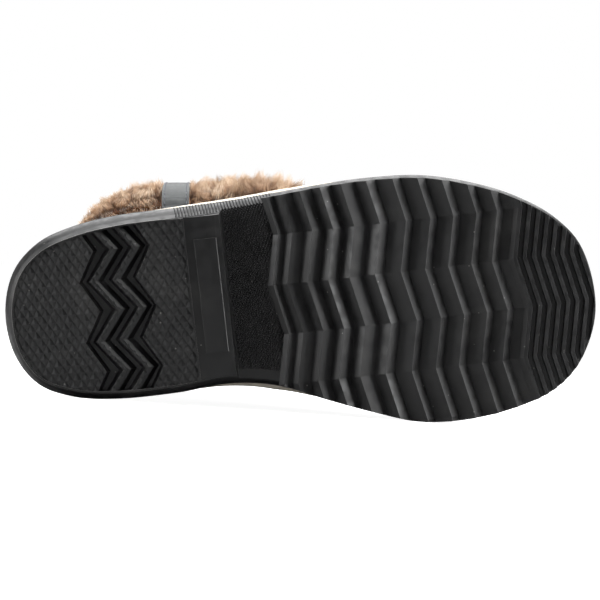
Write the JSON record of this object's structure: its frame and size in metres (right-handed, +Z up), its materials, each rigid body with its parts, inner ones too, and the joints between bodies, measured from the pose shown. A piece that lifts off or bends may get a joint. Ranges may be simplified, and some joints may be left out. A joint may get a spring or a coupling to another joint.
{
  "type": "snow boot",
  "caption": "Right snow boot on its side: black lugged rubber sole, cream midsole, hollow grey suede upper, tan fur cuff and a pull strap.",
  "frame": {"origin": "bottom centre of the bounding box: the boot lies on its medial side on z = 0", "axes": "+X from heel to toe, +Y from the sole to the collar, +Z up, towards the boot's lateral side"},
  "size_m": [0.2792, 0.2318, 0.1162],
  "materials": {
    "black_rubber": "satin",
    "cream_rubber": "matte",
    "grey_suede": "suede",
    "felt": "matte",
    "tan_fur": "fur",
    "grey_webbing": "matte"
  },
  "bodies": {
    "root": {"outsole": "black_rubber", "midsole": "cream_rubber", "upper": "grey_suede", "insole": "felt", "fur_cuff": "tan_fur", "pull_strap": "grey_webbing"}
  },
  "joints": []
}
